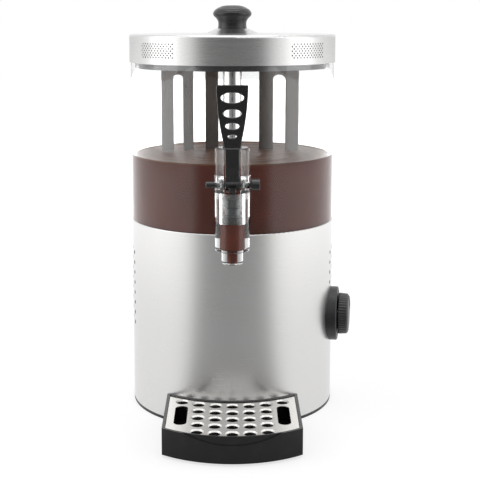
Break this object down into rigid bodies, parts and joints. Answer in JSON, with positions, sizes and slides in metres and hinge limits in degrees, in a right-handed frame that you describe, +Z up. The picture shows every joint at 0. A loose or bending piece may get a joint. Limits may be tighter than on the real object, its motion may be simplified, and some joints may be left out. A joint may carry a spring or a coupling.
{
  "type": "hot chocolate dispenser",
  "caption": "Round countertop hot drink dispenser: clear tank with stirring paddle, lever tap, steel body with heat dial, lid and drip tray.",
  "frame": {"origin": "centre of the base ring's underside, on the counter", "axes": "+Z up along the body's axis, -Y towards the tap and the drip tray, +X to the user's right when facing the tap"},
  "size_m": [0.231, 0.3051, 0.4137],
  "materials": {
    "brushed_steel": "satin brushed round the body",
    "polished_steel": "fine spun finish",
    "plain_steel": "plain mill finish",
    "pin_steel": "smooth turned",
    "screw_steel": "zinc plated",
    "element_steel": "heat-dulled sheath",
    "motor_steel": "drawn can",
    "shaft_steel": "ground",
    "liner_steel": "bright pressed",
    "grille_steel": "satin pressed",
    "spring_steel": "bright wire",
    "dish_aluminium": "spun",
    "gearbox_casting": "die cast",
    "cutout_brass": "stamped",
    "coupler_brass": "turned",
    "black_plastic": "fine satin moulding",
    "tray_black": "satin moulding",
    "lever_black": "smooth moulding",
    "lid_knob_black": "glossy moulding",
    "grey_knob": "satin moulding",
    "thermostat_plastic": "moulded phenolic",
    "bushing_plastic": "white bearing plastic",
    "nut_white": "white moulding",
    "paddle_grey": "satin, coated with chocolate",
    "plunger_grey": "satin moulding",
    "seal_rubber": "food-grade silicone",
    "clear_plastic": "clear moulded plastic",
    "tap_clear": "clear moulded plastic",
    "hot_chocolate": "thick dark liquid"
  },
  "bodies": {
    "base": {"housing_shell": "brushed_steel", "base_ring": "black_plastic", "bottom_plate": "plain_steel", "tray_pins": "pin_steel", "tie_rods": "plain_steel", "bottom_screws": "screw_steel", "warming_dish": "dish_aluminium", "heating_element": "element_steel", "thermal_cutout": "cutout_brass", "motor_bracket": "plain_steel", "bracket_standoffs": "plain_steel", "bracket_screws": "screw_steel", "gearbox": "gearbox_casting", "gearbox_screws": "screw_steel", "gear_motor": "motor_steel", "column_tube": "plain_steel", "lower_bushing": "bushing_plastic", "upper_bushing": "bushing_plastic", "tank_gasket": "seal_rubber", "thermostat": "thermostat_plastic", "control_bezel": "black_plastic", "thermostat_nut": "coupler_brass", "terminal_block": "thermostat_plastic", "cord_gland": "black_plastic"},
    "drive": {"output_shaft": "shaft_steel", "drive_shaft": "shaft_steel", "shaft_coupler": "coupler_brass", "coupler_grub_screws": "screw_steel"},
    "tank_unit": {"tank": "clear_plastic", "column_seal": "seal_rubber", "tap_body": "tap_clear", "tap_gasket": "seal_rubber", "tap_nut": "nut_white", "tap_yoke": "tap_clear", "pivot_pin": "pin_steel", "lever_springs": "spring_steel", "chocolate": "hot_chocolate"},
    "lid_unit": {"lid": "polished_steel", "lid_liner": "liner_steel", "lid_knob": "lid_knob_black", "lid_washer": "screw_steel", "lid_screw": "screw_steel"},
    "paddle": {"paddle": "paddle_grey"},
    "lever": {"tap_lever": "lever_black", "link_pin": "pin_steel"},
    "tap_plunger": {"plunger": "plunger_grey", "plunger_seal": "seal_rubber", "seat_seal": "seal_rubber"},
    "control": {"control_knob": "grey_knob", "control_spindle": "shaft_steel"},
    "tray": {"drip_tray": "tray_black"},
    "grille": {"drip_grille": "grille_steel"}
  },
  "joints": [
    {"name": "drive_spin", "type": "hinge", "parent": "base", "child": "drive", "pos_m": [0, 0, 0.1], "axis": [0, 0, 1], "continuous": true},
    {"name": "tank_lift", "type": "slide", "parent": "base", "child": "tank_unit", "axis": [0, 0, 1], "range_m": [0, 0.175]},
    {"name": "lid_lift", "type": "slide", "parent": "tank_unit", "child": "lid_unit", "axis": [0, 0, 1], "range_m": [0, 0.06]},
    {"name": "paddle_spin", "type": "hinge", "parent": "tank_unit", "child": "paddle", "pos_m": [0, 0, 0.355], "axis": [0, 0, 1], "continuous": true},
    {"name": "lever_swing", "type": "hinge", "parent": "tank_unit", "child": "lever", "pos_m": [0, -0.142, 0.249], "axis": [1, 0, 0], "range_deg": [0, 45], "deforming": ["lever_springs"]},
    {"name": "plunger_lift", "type": "slide", "parent": "tank_unit", "child": "tap_plunger", "axis": [0, 0, 1], "range_m": [0, 0.00612], "stiffness_N_per_m": 400, "springref_m": -0.004, "deforming": ["chocolate"]},
    {"name": "dial_turn", "type": "hinge", "parent": "base", "child": "control", "pos_m": [0.10371, -0.01643, 0.093], "axis": [0.9877, -0.1564, 0], "range_deg": [-270, 0]},
    {"name": "tray_pull", "type": "slide", "parent": "base", "child": "tray", "axis": [0, -1, 0], "range_m": [0, 0.12]},
    {"name": "grille_lift", "type": "slide", "parent": "tray", "child": "grille", "axis": [0, 0, 1], "range_m": [0, 0.03]}
  ],
  "couplings": [
    {"joint": "paddle_spin", "follows": "drive_spin", "ratio": 1},
    {"joint": "lever_swing", "follows": "plunger_lift", "rad_per_m": 128.27}
  ]
}
